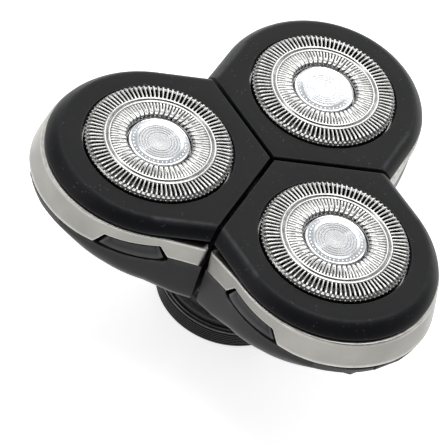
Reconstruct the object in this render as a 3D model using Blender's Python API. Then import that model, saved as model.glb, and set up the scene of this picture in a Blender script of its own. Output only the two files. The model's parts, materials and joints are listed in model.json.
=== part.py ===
"""Rotary shaver head unit: three floating shaving lobes on a gimballed neck.

Dimensions below are in millimetres and are scaled to metres when a mesh is
written.  The origin is the centre of the seat plane under the neck collar,
on the drive axis; +Z points up to the shaving faces.  The three lobes stand
at azimuths 180, 60 and -60 degrees round the drive axis.
"""
import bpy
import bmesh
from math import sin, cos, tan, atan2, radians, degrees, pi, sqrt
from mathutils import Matrix, Vector

MM = 0.001

# ---------------------------------------------------------------- driving dimensions (mm)
AZ = (180.0, 60.0, -60.0)     # lobe azimuths
D = 18.6                      # drive axis to lobe axis
H = 34.0                      # lid top plane
W_LID = 17.2                  # lid half width at its lower edge
GAP = 0.3                     # clearance between neighbouring pieces
SEAM = 0.4                    # half of the seam between two lobes
R_HOLE = 12.4                 # hole in the lid
R_GUARD = 12.0                # outside of the shaving guard
SUN_T, PLANET_T, MOD = 27, 21, 0.775
R_SUN, R_PLANET = SUN_T * MOD / 2, PLANET_T * MOD / 2
TILT = (12.4, 15.6)           # lobe tilt axis: distance from drive axis, height
HINGE = (35.2, 23.7)          # lid hinge axis: distance from drive axis, height
GIMBAL_Z = 8.5                # neck gimbal centre
COLLAR_R = 12.4

# ---------------------------------------------------------------- scene set-up
for o in list(bpy.data.objects):
    bpy.data.objects.remove(o, do_unlink=True)
main = bpy.data.collections.new("rotary_shaver_head")
bpy.context.scene.collection.children.link(main)
cutters = bpy.data.collections.new("cutting_bodies")
bpy.context.scene.collection.children.link(cutters)


def material(name, rgb, rough, metal=0.0):
    m = bpy.data.materials.new(name)
    m.use_nodes = True
    b = m.node_tree.nodes["Principled BSDF"]
    b.inputs["Base Color"].default_value = (*rgb, 1.0)
    b.inputs["Roughness"].default_value = rough
    b.inputs["Metallic"].default_value = metal
    m.diffuse_color = (*rgb, 1.0)
    return m


BLACK = (0.022, 0.022, 0.024)
STEEL = (0.60, 0.60, 0.61)

# ---------------------------------------------------------------- mesh building


def raw(name, verts, faces):
    """A mesh object in millimetres, normals outward."""
    me = bpy.data.meshes.new(name)
    me.from_pydata([tuple(v) for v in verts], [], faces)
    bm = bmesh.new()
    bm.from_mesh(me)
    bmesh.ops.remove_doubles(bm, verts=bm.verts, dist=1e-5)
    bmesh.ops.recalc_face_normals(bm, faces=bm.faces)
    bm.to_mesh(me)
    bm.free()
    me.update()
    o = bpy.data.objects.new(name, me)
    main.objects.link(o)
    return o


def loft(name, rings, loop=False, strips=False):
    """Skin equal-length rings.  loop joins the last ring to the first (a tube
    closed on itself); otherwise both end rings are capped, by one face each or,
    for mirror-symmetric rings that start on the mirror line, by cross strips."""
    n = len(rings[0])
    verts = [p for r in rings for p in r]
    faces = []
    k = len(rings)
    for i in range(k if loop else k - 1):
        a, b = i * n, ((i + 1) % k) * n
        for j in range(n):
            j2 = (j + 1) % n
            faces.append((a + j, a + j2, b + j2, b + j))
    if not loop and strips:
        for s in (0, (k - 1) * n):
            for j in range(n // 2):
                f = (s + j, s + j + 1, s + n - j - 1, s + (n - j) % n)
                faces.append(tuple(dict.fromkeys(f)))
    elif not loop:
        faces.append(tuple(range(n)))
        faces.append(tuple(range((k - 1) * n, k * n)))
    return raw(name, verts, faces)


def turned(name, profile, seg=32, centre=(0.0, 0.0), phase=0.0):
    """Turn a closed (r, z) profile about a vertical axis.  Points on the axis
    are allowed only as the first and last of the profile."""
    cx, cy = centre
    on_axis = profile[0][0] < 1e-6
    pts = [p for p in profile if p[0] > 1e-6]
    rings = [[(cx + r * cos(2 * pi * (j + phase) / seg), cy + r * sin(2 * pi * (j + phase) / seg), z)
              for j in range(seg)] for r, z in pts]
    return loft(name, rings, loop=not on_axis)


def rod(name, p0, p1, r, seg=16):
    """A round bar between two points."""
    a, b = Vector(p0), Vector(p1)
    d = (b - a).normalized()
    q = d.to_track_quat('Z', 'Y')
    rings = []
    for c in (a, b):
        rings.append([tuple(c + q @ Vector((r * cos(2 * pi * j / seg), r * sin(2 * pi * j / seg), 0)))
                      for j in range(seg)])
    return loft(name, rings)


def box(name, x0, x1, y0, y1, z0, z1):
    bm = bmesh.new()
    bmesh.ops.create_cube(bm, size=1.0)
    me = bpy.data.meshes.new(name)
    for v in bm.verts:
        v.co = ((x0 + x1) / 2 + v.co.x * (x1 - x0), (y0 + y1) / 2 + v.co.y * (y1 - y0),
                (z0 + z1) / 2 + v.co.z * (z1 - z0))
    bm.to_mesh(me)
    bm.free()
    o = bpy.data.objects.new(name, me)
    main.objects.link(o)
    return o


def boolean(a, b, op='DIFFERENCE'):
    """Apply one exact Boolean to a and remove the tool body b."""
    for c in list(b.users_collection):
        c.objects.unlink(b)
    cutters.objects.link(b)
    b.hide_render = True
    b.display_type = 'WIRE'
    m = a.modifiers.new("b", 'BOOLEAN')
    m.operation = op
    m.solver = 'EXACT'
    m.object = b
    dg = bpy.context.evaluated_depsgraph_get()
    dg.update()
    me = bpy.data.meshes.new_from_object(a.evaluated_get(dg))
    a.modifiers.clear()
    old = a.data
    a.data = me
    bpy.data.meshes.remove(old)
    bm = bmesh.new()
    bm.from_mesh(me)
    bmesh.ops.remove_doubles(bm, verts=bm.verts, dist=1e-4)
    bmesh.ops.dissolve_degenerate(bm, edges=bm.edges, dist=1e-4)
    bmesh.ops.recalc_face_normals(bm, faces=bm.faces)
    bm.to_mesh(me)
    bm.free()
    bpy.data.objects.remove(b, do_unlink=True)
    return a


def union(a, b):
    return boolean(a, b, 'UNION')


def place(o, name, mat, pivot=(0.0, 0.0, 0.0), az=0.0, smooth=None):
    """Scale to metres, put the origin on the pivot (given in the lobe's own
    frame) and turn the piece to its azimuth."""
    p = Vector(pivot)
    for v in o.data.vertices:
        v.co = (v.co - p) * MM
    rz = Matrix.Rotation(radians(az), 4, 'Z')
    o.location = (rz @ p) * MM
    o.rotation_euler = (0.0, 0.0, radians(az))
    o.name = name
    o.data.name = name
    o.data.materials.clear()
    o.data.materials.append(mat)
    if smooth is not None:
        for f in o.data.polygons:
            f.use_smooth = True
        o.data.set_sharp_from_angle(angle=radians(smooth))
    return o


# ---------------------------------------------------------------- lobe outline
ARC = (90, 79, 68, 60.3, 58.6, 48, 36, 24, 12, 0)
FLANK = (-5.5, -2.6, -2.1)


def outline(w, e=0.0, g=SEAM, z=0.0, nseam=4):
    """Closed plan curve of a lobe, counter-clockwise from the wedge tip.
    w half width, e extra reach at the outer end, g inset from the seam plane,
    z a height or a function of (x, y)."""
    xt = g / sin(radians(60))
    xc = w / tan(radians(60)) + xt
    half = []
    for i in range(1, nseam):
        t = i / nseam
        half.append((xt + (xc - xt) * t, -w * t))
    half.append((xc, -w))
    for f in FLANK:
        half.append((max(D + f, xc + 0.05), -w))
    for a in ARC[:-1]:
        half.append((D + (w + e) * cos(radians(a)), -w * sin(radians(a))))
    pts = [(xt, 0.0)] + half + [(D + w + e, 0.0)] + [(x, -y) for x, y in reversed(half)]
    zf = z if callable(z) else (lambda x, y: z)
    return [(x, y, zf(x, y)) for x, y in pts]


def to_circle(ring, r, z, cx=D):
    """Points on a circle about the lobe axis, one per outline point."""
    out = []
    for x, y, _ in ring:
        a = atan2(y, x - cx)
        out.append((cx + r * cos(a), r * sin(a), z))
    return out


def lerp(x, xs, ys):
    if x <= xs[0]:
        return ys[0]
    for i in range(1, len(xs)):
        if x <= xs[i]:
            t = (x - xs[i - 1]) / (xs[i] - xs[i - 1])
            return ys[i - 1] + t * (ys[i] - ys[i - 1])
    return ys[-1]


def run(x, y, w=17.3):
    """Distance along the lobe's side: negative on the flank towards the
    valley, growing round the outer end."""
    if x <= D:
        return x - D
    return w * (pi / 2 - atan2(abs(y), x - D))


def shell_edge(x, y):
    return lerp(run(x, y), (-8.4, -2.6, -2.1, 8.8, 9.3, 12, 15, 20, 27),
                (25.35, 26.5, 25.6, 25.6, 25.7, 25.9, 26.15, 26.4, 26.55))


def flare(run_mm):
    """How far the side leans out at the band's lower edge, towards the outer end."""
    return lerp(run_mm, (9.25, 12, 15, 20, 27), (0.0, 0.45, 0.8, 1.15, 1.35))


def leaned(ring, k):
    """Move each point of an outline ring outward from the lobe axis by k times the flare."""
    out = []
    for x, y, z in ring:
        f = k * flare(run(x, y)) if x > D else 0.0
        a = atan2(y, x - D)
        out.append((x + f * cos(a), y + f * sin(a), z))
    return out


def lift(x, y, k):
    return k * flare(run(x, y)) if x > D else 0.0


def keel(x, y=0.0):
    """Height of the underside of a lobe."""
    return lerp(x, (0, 10, 13.6, 18.6, 25, 34, 38), (12.6, 14.2, 15.3, 17.6, 19.2, 20.6, 21.0))


# ---------------------------------------------------------------- gears


def gear_ring(teeth, z, centre=(0.0, 0.0), turn=0.0, slim=0.0):
    """Trapezoid-tooth outline, four points a tooth."""
    rp = teeth * MOD / 2
    ra, rf = rp + MOD * 0.68, rp - MOD * 0.98
    p = 2 * pi / teeth
    out = []
    for i in range(teeth):
        c = turn + i * p
        for a, r in ((-0.34, rf), (-0.125 + slim, ra), (0.125 - slim, ra), (0.34, rf)):
            out.append((centre[0] + r * cos(c + a * p), centre[1] + r * sin(c + a * p), z))
    return out


# ================================================================ neck
m_collar = material("black_gloss_plastic", (0.018, 0.018, 0.019), 0.30)
m_rubber = material("black_rubber", (0.02, 0.02, 0.02), 0.75)
m_steel = material("steel", STEEL, 0.25, 1.0)
m_white = material("white_acetal", (0.75, 0.75, 0.72), 0.45)
m_grey = material("grey_plastic", (0.12, 0.12, 0.125), 0.5)
m_brass = material("brass", (0.72, 0.52, 0.22), 0.3, 1.0)

collar = turned("neck_collar", [(9.2, 0.0), (11.9, 0.0), (COLLAR_R, 0.5), (COLLAR_R, 3.3), (11.9, 4.0), (11.0, 4.3),
                                (10.2, 6.2), (3.6, 6.2), (3.6, 4.8), (9.2, 4.8)], 28)
for s in (-1, 1):
    x0, x1 = sorted((s * 9.3, s * 10.1))
    union(collar, box("post", x0, x1, -1.8, 1.8, 5.5, 10.4))
boolean(collar, rod("hole", (-12, 0, GIMBAL_Z), (12, 0, GIMBAL_Z), 1.2, 12))
place(collar, "neck_collar", m_collar, smooth=40)

boot = []
for i, (r, z) in enumerate([(11.8, 4.65), (12.2, 5.5), (11.5, 6.7), (12.0, 7.9), (11.3, 9.2), (11.7, 10.4), (11.1, 11.6), (11.2, 12.5)]):
    boot.append((r, z))
inner = [(r - 0.7, z) for r, z in reversed(boot)]
inner[-1] = (11.0, 4.95)
place(turned("neck_boot", boot + inner, 24), "neck_boot", m_rubber, smooth=50)

ring = turned("gimbal_ring", [(7.6, 7.6), (8.8, 7.6), (8.8, 9.4), (7.6, 9.4)], 32)
for s in (-1, 1):
    union(ring, rod("stub", (s * 8.0, 0, GIMBAL_Z), (s * 9.9, 0, GIMBAL_Z), 0.85, 12))
    union(ring, rod("stub", (0, s * 5.3, GIMBAL_Z), (0, s * 8.4, GIMBAL_Z), 0.85, 12))
place(ring, "gimbal_ring", m_grey, (0, 0, GIMBAL_Z), smooth=35)

coupler = turned("drive_coupler", [(0.0, 0.0), (2.8, 0.0), (2.8, 4.4), (3.2, 5.0), (3.2, 9.4), (2.3, 9.4), (2.3, 6.6), (0.0, 6.6)], 24)
for k in range(3):
    lug = box("lug", 2.0, 4.0, -0.7, 0.7, 0.3, 2.6)
    lug.data.transform(Matrix.Rotation(radians(120 * k + 60), 4, 'Z'))
    union(coupler, lug)
place(coupler, "drive_coupler", m_white, (0, 0, 0), smooth=35)

# ================================================================ gearbox
PAN_R, ARM_R = 12.5, 9.95


def trefoil(name, r0, r1, z0, z1, seg0=24, seg1=20):
    t = turned(name, [(0, z0), (r0, z0), (r0, z1), (0, z1)], seg0)
    for a in AZ:
        c = (D * cos(radians(a)), D * sin(radians(a)))
        union(t, turned("arm", [(0, z0), (r1, z0), (r1, z1), (0, z1)], seg1, c))
    return t


def screw_spot(a):
    b = radians(a + 42)
    return 13.9 * cos(b), 13.9 * sin(b)


pan = trefoil("gearbox_pan", PAN_R, ARM_R, 21.2, 24.4)
for a in AZ:
    union(pan, turned("boss", [(0, 21.2), (1.5, 21.2), (1.5, 24.4), (0, 24.4)], 12, screw_spot(a)))
boolean(pan, trefoil("cavity", PAN_R - 0.9, ARM_R - 0.9, 21.9, 25.0))
union(pan, turned("hub", [(0, 12.2), (7.6, 12.2), (8.0, 12.8), (8.0, 21.5), (0, 21.5)], 32))
for a in AZ:
    ca, sa = cos(radians(a)), sin(radians(a))
    union(pan, turned("spigot", [(0, 21.5), (1.15, 21.5), (1.15, 22.45), (0, 22.45)], 12, (D * ca, D * sa)))
    for s in (-1, 1):
        y0, y1 = sorted((s * 3.0, s * 4.4))
        ear = box("ear", 7.0, 13.9, y0, y1, TILT[1] - 1.6, TILT[1] + 1.6)
        ear.data.transform(Matrix.Rotation(radians(a), 4, 'Z'))
        union(pan, ear)
    h = rod("hole", (TILT[0], -5, TILT[1]), (TILT[0], 5, TILT[1]), 0.95, 12)
    h.data.transform(Matrix.Rotation(radians(a), 4, 'Z'))
    boolean(pan, h)
    boolean(pan, turned("pilot", [(0, 22.3), (0.85, 22.3), (0.85, 25), (0, 25)], 10, screw_spot(a)))
for s in (-1, 1):
    y0, y1 = sorted((s * 5.3, s * 6.9))
    union(pan, box("fork", -1.7, 1.7, y0, y1, 7.0, 12.8))
boolean(pan, rod("hole", (0, -8, GIMBAL_Z), (0, 8, GIMBAL_Z), 1.15, 12))
boolean(pan, turned("bore", [(0, 11), (3.8, 11), (3.8, 15.6), (2.5, 15.6), (2.5, 25), (0, 25)], 20))
place(pan, "gearbox_pan", m_grey, (0, 0, GIMBAL_Z), smooth=35)

place(turned("shaft_bush", [(2.35, 12.4), (3.5, 12.4), (3.5, 15.3), (2.35, 15.3)], 20), "shaft_bush", m_brass, (0, 0, GIMBAL_Z), smooth=35)

cover = trefoil("gearbox_cover", PAN_R, ARM_R, 24.7, 25.4)
for a in AZ:
    c = (D * cos(radians(a)), D * sin(radians(a)))
    x, y = screw_spot(a)
    union(cover, turned("lug", [(0, 24.7), (1.5, 24.7), (1.5, 25.4), (0, 25.4)], 12, (x, y)))
    boolean(cover, turned("hole", [(0, 24), (3.7, 24), (3.7, 26), (0, 26)], 24, c))
    boolean(cover, turned("hole", [(0, 24), (0.85, 24), (0.85, 26), (0, 26)], 10, (x, y)))
place(cover, "gearbox_cover", m_grey, (0, 0, GIMBAL_Z), smooth=35)

for i, a in enumerate(AZ):
    x, y = screw_spot(a)
    s = turned("screw", [(0, 22.6), (0.5, 22.6), (0.5, 25.65), (1.1, 25.65), (1.1, 26.2), (0, 26.2)], 10, (x, y))
    place(s, "gearbox_screw_%d" % (i + 1), m_steel, (x, y, 25.7))

sun = loft("sun", [gear_ring(SUN_T, 22.2), gear_ring(SUN_T, 24.1)])
union(sun, turned("shaft", [(0, 10.6), (1.6, 10.6), (1.9, 11.0), (1.9, 22.6), (0, 22.6)], 16))
union(sun, turned("ball", [(0, 7.2), (0.9, 7.4), (1.35, 8.1), (1.45, 8.6), (1.2, 9.3), (0.9, 9.8), (0.9, 10.9), (0, 10.9)], 14))
for k in range(3):
    b = radians(120 * k + 60)
    boolean(sun, turned("web", [(0, 21.5), (2.4, 21.5), (2.4, 25), (0, 25)], 10, (6.2 * cos(b), 6.2 * sin(b))))
place(sun, "sun_gear", m_white, (0, 0, GIMBAL_Z), smooth=30)

for i, a in enumerate(AZ):
    # the tooth facing the drive axis is put into a gap of the sun gear
    sun_phase = (a / (360.0 / SUN_T)) % 1.0
    turn = radians(180.0 + (0.5 + sun_phase) * 360.0 / PLANET_T)
    g = loft("planet", [gear_ring(PLANET_T, 22.2, (D, 0), turn), gear_ring(PLANET_T, 24.1, (D, 0), turn)])
    union(g, turned("hub", [(0, 23.5), (3.3, 23.5), (3.3, 25.9), (0, 25.9)], 20, (D, 0)))
    boolean(g, turned("socket", [(0, 22.9), (2.5, 22.9), (2.5, 27), (0, 27)], 20, (D, 0)))
    boolean(g, turned("bore", [(0, 21), (1.45, 21), (1.45, 22.62), (0, 22.62)], 12, (D, 0)))
    place(g, "planet_gear_%d" % (i + 1), m_white, (D, 0, 23.0), a, smooth=30)

# ================================================================ lobes
m_lid = material("lid_black", BLACK, 0.48)
m_shell = material("shell_dark", (0.028, 0.029, 0.031), 0.34)
m_hinge = material("hinge_black", (0.014, 0.014, 0.015), 0.55)
m_trim = material("trim_satin", (0.52, 0.50, 0.46), 0.34, 1.0)
m_button = material("button_dark", (0.03, 0.031, 0.034), 0.42)
m_guard = material("guard_steel", (0.66, 0.66, 0.67), 0.22, 1.0)
m_disc = material("disc_polished", (0.80, 0.81, 0.82), 0.10, 1.0)
m_tray = material("tray_black", (0.03, 0.03, 0.03), 0.55)

R_CORE = 13.6


def shell_rings(t, g, top):
    """Outer (t = 0) or inner (t = wall) skin of the lower shell."""
    d = t * 0.95
    r = []
    if t == 0:
        r.append(outline(16.0, 1.1, g + 0.25, 28.2))
        r.append(outline(16.0, 1.1, g + 0.25, lambda x, y: shell_edge(x, y)))
        r.append(leaned(outline(17.1, 1.1, g, lambda x, y: shell_edge(x, y)), 0.93))
    else:
        r.append(outline(14.8, 1.1, g + t, 29.5))
    q = 0.0 if t else 1.0
    r.append(leaned(outline(17.05 - (2.25 if t else 0), 1.0, g + 0.1 + t,
                            lambda x, y: min(keel(x) + 4.1, 24.0) + d * 0.6 + q * lift(x, y, 0.85)), q * 0.85))
    r.append(leaned(outline(16.55 if not t else 14.8, 0.6, g + 0.3 + t,
                            lambda x, y: min(keel(x) + 2.6, 23.2) + d * 0.8 + q * lift(x, y, 0.6)), q * 0.45))
    r.append(outline(15.3 - t, 0.1, g + 0.9 + t * 0.8, lambda x, y: keel(x) + 1.1 + d))
    r.append(outline(13.3 - t, -0.4, g + 1.9 + t * 0.6, lambda x, y: keel(x) + 0.25 + d))
    r.append(outline(10.0 - t, -0.8, g + 3.4, lambda x, y: keel(x) + d))
    return r


def axis_block(r, z0, z1, cx=0.0, cy=0.0, seg=36):
    return turned("core", [(0, z0), (r, z0), (r, z1), (0, z1)], seg, (cx, cy))


for i, a in enumerate(AZ):
    n = i + 1
    tilt = (TILT[0], 0, TILT[1])
    hinge = (HINGE[0], 0, HINGE[1])

    # ---- lower shell: open bowl, stepped rim, slot for the lid knuckle
    s = loft("shell", shell_rings(0, SEAM, 28.2), strips=True)
    boolean(s, loft("inside", shell_rings(1.1, SEAM, 28.2), strips=True))
    boolean(s, axis_block(R_CORE, 5, 40))
    # pocket for the black hinge block at the outer end
    pk = []
    for zz in (22.7, 29.0):
        pk.append([(D + q * cos(radians(b)), q * sin(radians(b)), zz)
                   for q, bs in ((16.75, range(-38, 39, 4)), (26.0, (38, 0, -38))) for b in bs])
    boolean(s, loft("pocket", pk))
    boolean(s, box("bar_room", 33.0, 42, -5.7, 5.7, 21.85, 26.95))
    boolean(s, box("slot", 33.0, 42, -2.8, 2.8, 21.85, 30))
    for sy in (-1, 1):
        y0, y1 = sorted((sy * 13.0, sy * 19.0))
        boolean(s, box("window", D - 2.6, D + 9.4, y0, y1, 25.95, 30))
    # room for the gearbox ears, then the knuckle on the tilt pin
    boolean(s, box("ear_room", 8.0, 14.4, -4.8, 4.8, 10, 19))
    web = box("web", 12.4, 15.2, -2.6, 2.6, 14.35, 16.9)
    union(web, rod("knuckle", (TILT[0], -2.6, TILT[1]), (TILT[0], 2.6, TILT[1]), 1.6, 14))
    union(s, web)
    boolean(s, rod("pinhole", (TILT[0], -4, TILT[1]), (TILT[0], 4, TILT[1]), 0.95, 12))
    place(s, "lower_shell_%d" % n, m_shell, tilt, a, smooth=32)

    place(rod("pin", (TILT[0], -4.4, TILT[1]), (TILT[0], 4.4, TILT[1]), 0.62, 12), "tilt_pin_%d" % n, m_steel, tilt, a, smooth=40)

    # ---- hair chamber tray
    o0 = outline(14.45, 1.1, 1.9, 27.1)
    o1 = outline(14.45, 1.1, 1.9, 28.3)
    o2 = outline(13.65, 1.1, 2.6, 28.3)
    o3 = outline(13.65, 1.1, 2.6, 27.9)
    t = loft("tray", [o0, o1, o2, o3, to_circle(o3, 1.55, 27.9), to_circle(o0, 1.55, 27.1)], loop=True)
    boolean(t, box("slot", 32.9, 38, -2.8, 2.8, 26, 30))
    place(t, "chamber_tray_%d" % n, m_tray, tilt, a, smooth=32)

    # ---- hinge block: black arc segment with the lid hinge bore
    prof = [(17.0, 22.95), (17.6, 22.95), (18.3, 23.6), (18.9, 24.5), (19.3, 25.4), (19.35, 26.0), (19.0, 26.3), (17.0, 26.3)]
    ang = [radians(-37 + 74 * j / 12) for j in range(13)]
    rr = [[(D + q * cos(b), q * sin(b), z) for q, z in prof] for b in ang]
    hb = loft("hinge_block", rr)
    sec = ((34.2, 22.15), (35.2, 22.15), (36.0, 22.9), (36.0, 24.65), (34.2, 24.65))
    union(hb, loft("bar", [[(x, y, z) for x, z in sec] for y in (-5.4, 5.4)]))
    boolean(hb, box("gap", 33, 40, -2.75, 2.75, 22.45, 27))
    boolean(hb, rod("bore", (HINGE[0], -5.1, HINGE[1]), (HINGE[0], 5.1, HINGE[1]), 0.6, 10))
    place(hb, "hinge_block_%d" % n, m_hinge, tilt, a, smooth=32)
    place(rod("pin", (HINGE[0], -4.8, HINGE[1]), (HINGE[0], 4.8, HINGE[1]), 0.36, 10), "lid_hinge_pin_%d" % n, m_steel, hinge, a, smooth=40)

    # ---- release buttons
    for k, sy in enumerate((-1, 1)):
        # foot and head columns along the side, then inner and outer faces
        def at(run_mm, w):
            if run_mm <= 0:
                return D + run_mm, w
            b = pi / 2 - run_mm / 17.3
            return D + (w + 0.1) * cos(b), w * sin(b)
        foot, head = (-1.9, 1.8, 5.5, 8.8), (-0.55, 2.2, 5.0, 7.4)
        rings = []
        for fr, hr in zip(foot, head):
            top = 29.05 - 0.09 * hr
            ring = []
            for run_mm, w, z in ((fr, 15.75, 25.95), (fr, 17.15, 25.95), (hr, 17.15, top), (hr, 16.75, top),
                                 (fr + (hr - fr) * 0.65, 16.7, 28.0), (fr + (hr - fr) * 0.6, 15.75, 27.8)):
                x, y = at(run_mm, w)
                ring.append((x, sy * y, z))
            rings.append(ring)
        b = loft("button", rings)
        place(b, "release_button_%d%s" % (n, "ab"[k]), m_button, (D + 2.9, sy * 16.4, 27.3), a, smooth=25)

    # ---- lid frame: carries guard, cutter and the hinge knuckle
    f0 = outline(15.6, 1.0, 1.3, 28.6)
    f1 = outline(15.6, 0.8, 1.4, 31.3)
    f1b = outline(14.9, 0.7, 2.0, 32.4)
    f2 = to_circle(f0, 13.25, 32.4)
    f3 = to_circle(f0, 13.25, 30.2)
    f4 = to_circle(f0, 11.6, 30.0)
    f5 = to_circle(f0, 11.6, 29.3)
    f6 = to_circle(f0, 13.6, 29.3)
    f7 = outline(14.7, 1.0, 2.0, 28.6)
    f = loft("frame", [f0, f1, f1b, f2, f3, f4, f5, f6, f7], loop=True)
    union(f, box("arm", 33.7, 35.1, -2.3, 2.3, 23.4, 30.6))
    union(f, box("foot", 33.7, 35.4, -2.3, 2.3, 23.2, 24.2))
    union(f, rod("knuckle", (HINGE[0], -2.3, HINGE[1]), (HINGE[0], 2.3, HINGE[1]), 1.1, 14))
    boolean(f, rod("bore", (HINGE[0], -4, HINGE[1]), (HINGE[0], 4, HINGE[1]), 0.68, 12))
    place(f, "lid_frame_%d" % n, m_hinge, hinge, a, smooth=32)

    # ---- lid cover
    def lid_out(w, e, g, z):
        return outline(w, e, g, z)
    l0 = lid_out(15.45, 0.35, SEAM, H)
    l1 = lid_out(15.75, 0.4, SEAM, H - 0.18)
    l2 = lid_out(16.6, 0.6, SEAM, H - 1.05)
    l3 = lid_out(W_LID, 0.8, SEAM, H - 2.1)
    l4 = lid_out(17.0, 0.8, SEAM + 0.1, H - 2.4)
    l5 = lid_out(16.0, 0.9, SEAM + 0.8, H - 2.4)
    l6 = lid_out(15.6, 0.7, SEAM + 0.8, H - 1.2)
    l7 = to_circle(l0, R_HOLE, H - 1.2)
    l8 = to_circle(l0, R_HOLE, H)
    l = loft("lid", [l0, l1, l2, l3, l4, l5, l6, l7, l8], loop=True)
    place(l, "lid_cover_%d" % n, m_lid, hinge, a, smooth=30)

    # ---- silver trim band, open at the valley, notched for the buttons
    low = ((-8.3, -5.5, -2.45, -0.85, 2.5, 5.2, 7.75, 9.25, 12, 15, 20, 27.2),
           (25.7, 26.25, 26.9, 29.4, 29.15, 28.9, 28.75, 26.0, 26.25, 26.5, 26.8, 26.95))
    topz = ((-8.3, -5.5, -2.45, -0.85, 2.5), (29.9, 30.45, 31.0, 31.2, 31.3))
    cols = list(low[0])
    half = []
    for c in cols:
        if c <= 0:
            nx, ny, ox, oy = 0.0, 1.0, D + c, 0.0
            q = [(ox, w) for w in (16.3, 17.35)]
        else:
            b = pi / 2 - c / 17.3
            b = max(b, 0.0) if c < 27.15 else 0.0
            q = [(D + (w + 1.05) * cos(b), w * sin(b)) for w in (16.3, 17.35)]
        zl = lerp(c, *low)
        zt = lerp(c, *topz)
        (xi, yi), (xo, yo) = q
        zm = (zl + zt) / 2
        nx, ny = (0.0, 1.0) if c <= 0 else (cos(b), sin(b))
        fl = flare(c)
        half.append([(xi + nx * fl * 0.85, yi + ny * fl * 0.85, zl), (xo + nx * fl, yo + ny * fl, zl),
                     (xo + nx * (0.12 + fl * 0.6), yo + ny * (0.12 + fl * 0.6), zm), (xo, yo, zt), (xi, yi, zt)])
    rings = half + [[(x, -y, z) for x, y, z in r] for r in reversed(half[:-1])]
    t = loft("trim", rings)
    place(t, "silver_trim_%d" % n, m_trim, hinge, a, smooth=32)

    # ---- shaving guard, centre disc and cutter, on the lobe axis
    gp = [(12.85, 31.7), (12.85, 32.3), (R_GUARD, 32.3), (R_GUARD, 34.6), (11.5, 35.0),
          (9.15, 35.0), (8.6, 34.6), (8.05, 35.0), (5.5, 35.0), (5.3, 33.75), (1.2, 33.75),
          (1.2, 33.3), (5.8, 33.3), (5.8, 34.5), (7.8, 34.5), (8.6, 34.15), (9.4, 34.5), (11.45, 34.5),
          (11.45, 31.7)]
    g = turned("guard", gp, 28, (D, 0))
    place(g, "shaving_guard_%d" % n, m_guard, (D, 0, 33.0), a, smooth=40)
    place(turned("disc", [(0, 34.05), (5.0, 34.05), (5.05, 34.4), (4.8, 34.6), (0, 34.6)], 32, (D, 0)), "centre_disc_%d" % n, m_disc, (D, 0, 34.05), a, smooth=40)

    # castellated cutter: base disc, hub with drive socket, two rows of blades
    c = turned("cutter", [(0, 31.3), (11.0, 31.3), (11.0, 32.1), (0, 32.1)], 24, (D, 0))
    union(c, turned("hub", [(0, 29.9), (3.5, 29.9), (3.5, 32.9), (0, 32.9)], 16, (D, 0)))
    for r0, r1 in ((9.55, 11.0), (6.15, 7.6)):
        seg = 24
        up_in, up_out, lo_out, lo_in = [], [], [], []
        for j in range(seg):
            b = 2 * pi * j / seg
            z = 34.2 if (j % 3) in (0, 1) else 32.5
            for lst, r, zz in ((up_in, r0, z), (up_out, r1, z), (lo_out, r1, 31.6), (lo_in, r0, 31.6)):
                lst.append((D + r * cos(b), r * sin(b), zz))
        union(c, loft("crown", [up_in, up_out, lo_out, lo_in], loop=True))
    boolean(c, turned("socket", [(0, 29), (2.6, 29), (2.6, 32.4), (0, 32.4)], 16, (D, 0)))
    place(c, "cutter_%d" % n, m_steel, (D, 0, 31.3), a, smooth=30)

    # ---- drive spindle with its spring
    sp = turned("spindle", [(0, 23.75), (0.9, 23.9), (1.3, 24.6), (1.3, 25.3), (1.05, 25.9), (1.05, 29.2), (0, 29.2)], 14, (D, 0))
    union(sp, turned("head", [(0, 29.0), (2.1, 29.0), (2.1, 31.0), (1.7, 31.2), (0, 31.2)], 6, (D, 0)))
    place(sp, "drive_spindle_%d" % n, m_white, (D, 0, 25.0), a, smooth=30)
    turns, seg, k, rw, rc = 2.0, 10, 5, 0.17, 1.75
    rings = []
    m = int(turns * seg)
    for j in range(m + 1):
        b = 2 * pi * j / seg
        z = 28.12 + 0.62 * j / m
        e = Vector((cos(b), sin(b), 0))
        rings.append([(D + (rc + rw * cos(2 * pi * q / k)) * e.x, (rc + rw * cos(2 * pi * q / k)) * e.y, z + rw * 0.62 * sin(2 * pi * q / k)) for q in range(k)])
    place(loft("spring", rings), "spindle_spring_%d" % n, m_steel, (D, 0, 28.0), a, smooth=60)

bpy.data.collections.remove(cutters)
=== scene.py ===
"""Looks for the rotary shaver head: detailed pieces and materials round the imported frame.

Lengths are in millimetres in each lobe's own frame (x away from the drive
axis, y along the rim, z up) and become metres when a mesh is written.
"""

import json
import bpy
import bmesh
from math import sin, cos, tan, atan2, radians, degrees, pi, sqrt
from mathutils import Matrix, Vector


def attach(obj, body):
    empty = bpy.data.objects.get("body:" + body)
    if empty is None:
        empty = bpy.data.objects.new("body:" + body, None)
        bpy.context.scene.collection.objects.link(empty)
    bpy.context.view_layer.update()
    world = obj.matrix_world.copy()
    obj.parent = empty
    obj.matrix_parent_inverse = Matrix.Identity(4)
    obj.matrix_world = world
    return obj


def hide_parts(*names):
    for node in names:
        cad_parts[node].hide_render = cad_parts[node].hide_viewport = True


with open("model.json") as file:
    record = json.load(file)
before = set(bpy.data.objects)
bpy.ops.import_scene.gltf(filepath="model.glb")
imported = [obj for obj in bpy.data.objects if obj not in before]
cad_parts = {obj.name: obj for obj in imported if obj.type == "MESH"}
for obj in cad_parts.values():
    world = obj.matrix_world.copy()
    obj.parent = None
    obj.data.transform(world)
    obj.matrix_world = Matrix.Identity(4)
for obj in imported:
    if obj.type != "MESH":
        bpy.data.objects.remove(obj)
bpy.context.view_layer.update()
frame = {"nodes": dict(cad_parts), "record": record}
nodes = frame["nodes"]
scene = bpy.context.scene

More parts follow.
